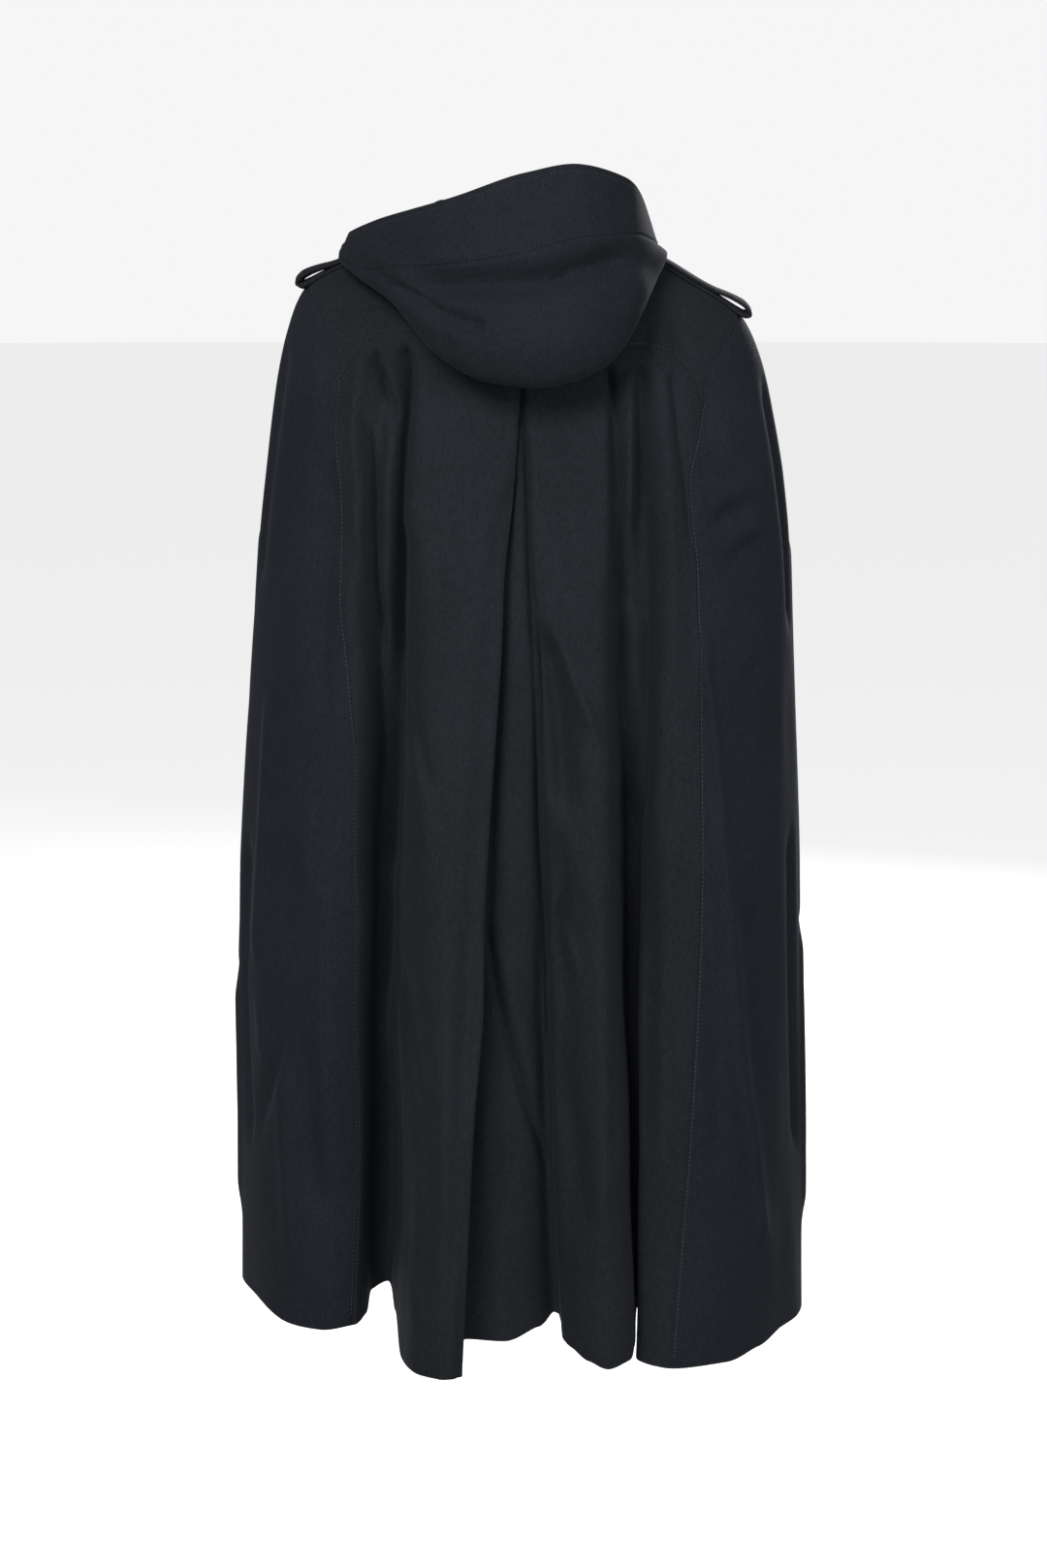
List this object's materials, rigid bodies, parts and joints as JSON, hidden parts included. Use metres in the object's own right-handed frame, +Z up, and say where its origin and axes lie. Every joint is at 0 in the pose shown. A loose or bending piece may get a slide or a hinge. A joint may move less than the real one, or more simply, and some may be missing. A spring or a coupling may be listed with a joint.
{
  "type": "hooded wool cloak",
  "caption": "Long hooded cloak of dark wool in its worn, hollow shape, with a back yoke, an inverted pleat, deep hanging folds and shoulder straps.",
  "frame": {"origin": "middle of the neck opening, level with the nape seam, where the wearer holds the cloak up", "axes": "+Z up, the front faces -Y, the wearer's left is +X"},
  "size_m": [0.5504, 0.4215, 1.1057],
  "materials": {
    "wool": "matte milled wool",
    "hood_wool": "matte milled wool",
    "button": "satin"
  },
  "bodies": {
    "root": {"yoke_back": "wool", "back_left": "wool", "back_right": "wool", "back_pleat_underlay": "wool", "side_left": "wool", "side_right": "wool", "front_left": "wool", "front_right": "wool", "hood_body": "hood_wool", "hood_band": "hood_wool", "epaulette_left": "wool", "epaulette_right": "wool", "button_1": "button", "button_2": "button", "button_3": "button", "button_4": "button"}
  },
  "joints": []
}
